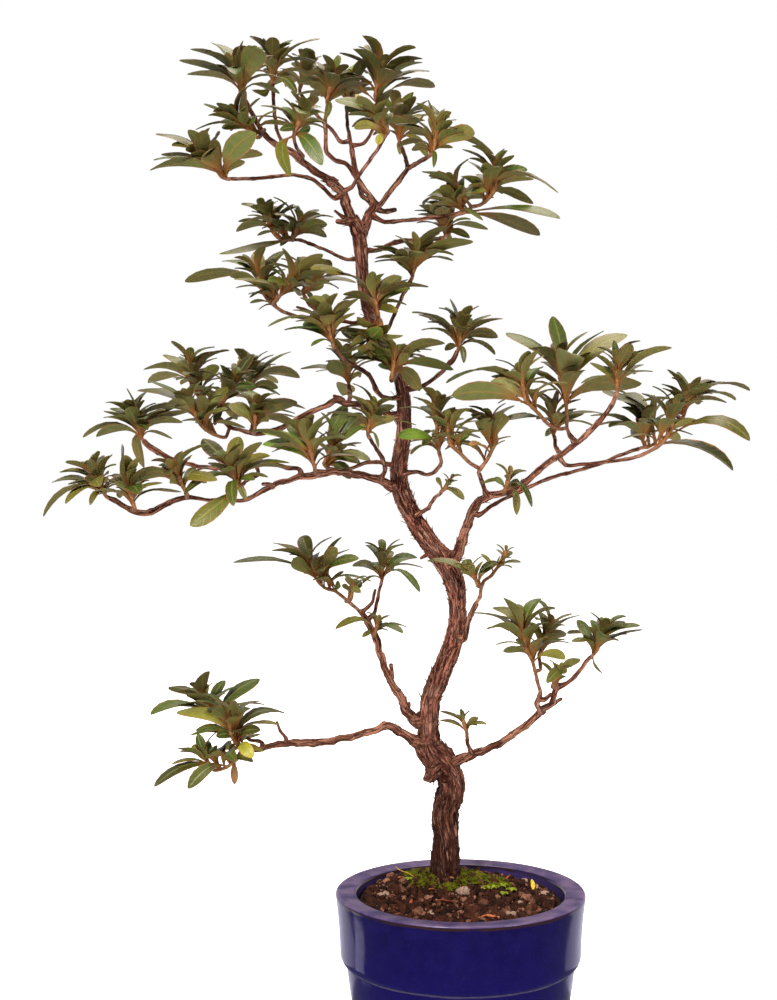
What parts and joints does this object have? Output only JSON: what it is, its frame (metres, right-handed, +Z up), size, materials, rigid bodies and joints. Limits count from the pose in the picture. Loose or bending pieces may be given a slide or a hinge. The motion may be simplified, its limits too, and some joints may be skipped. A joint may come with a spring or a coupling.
{
  "type": "satsuki azalea bonsai",
  "caption": "Slender satsuki azalea bonsai with a winding trunk, spreading tiers of leafy sprays and a mossy soil mound, in a round blue glazed pot with a banded collar.",
  "frame": {"origin": "middle of the pot's underside, on the surface it stands on", "axes": "+Z up, the tree's front faces -Y, +X to the right seen from the front"},
  "size_m": [0.3493, 0.1686, 0.538],
  "materials": {
    "glaze": "deep cobalt gloss glaze on stoneware, thinner and lavender at the lip",
    "mesh": "moulded plastic drain mesh",
    "soil": "matt granular akadama and pumice soil",
    "moss": "soft matt moss",
    "bark": "fibrous flaking bark, matt",
    "leaf": "semi-gloss evergreen leaves on golden brown shoots"
  },
  "bodies": {
    "root": {"drain_mesh": "mesh", "moss": "moss", "pot": "glaze", "soil": "soil", "spray_crown_far_back": "leaf", "spray_crown_front": "leaf", "spray_crown_front_left": "leaf", "spray_crown_left": "leaf", "spray_crown_left_side": "leaf", "spray_crown_low_left": "leaf", "spray_crown_mid": "leaf", "spray_crown_mid_back": "leaf", "spray_crown_peak": "leaf", "spray_crown_right_back": "leaf", "spray_crown_right_front": "leaf", "spray_crown_right_peak": "leaf", "spray_foot_twig": "leaf", "spray_left_end": "leaf", "spray_left_end_front": "leaf", "spray_left_hanging": "leaf", "spray_left_high": "leaf", "spray_left_inner": "leaf", "spray_left_inner_back": "leaf", "spray_left_low_end": "leaf", "spray_left_low_front": "leaf", "spray_left_low_upper": "leaf", "spray_left_mid": "leaf", "spray_left_mid_back": "leaf", "spray_left_pad_far": "leaf", "spray_left_pad_mid": "leaf", "spray_left_pad_peak": "leaf", "spray_left_pad_top": "leaf", "spray_left_rise": "leaf", "spray_left_round": "leaf", "spray_left_shelf": "leaf", "spray_left_upper_end": "leaf", "spray_near_trunk": "leaf", "spray_neck_front": "leaf", "spray_neck_right": "leaf", "spray_pink_twig": "leaf", "spray_right_bud": "leaf", "spray_right_elbow": "leaf", "spray_right_end": "leaf", "spray_right_far_end": "leaf", "spray_right_far_low": "leaf", "spray_right_inner": "leaf", "spray_right_low_bud": "leaf", "spray_right_low_end": "leaf", "spray_right_low_front": "leaf", "spray_right_neck": "leaf", "spray_right_shoulder": "leaf", "spray_right_upper": "leaf", "spray_rise_side": "leaf", "spray_rise_twig": "leaf", "spray_shoulder": "leaf", "spray_trunk_front": "leaf", "spray_trunk_waist": "leaf", "spray_waist_twig": "leaf", "wood": "bark"}
  },
  "joints": []
}
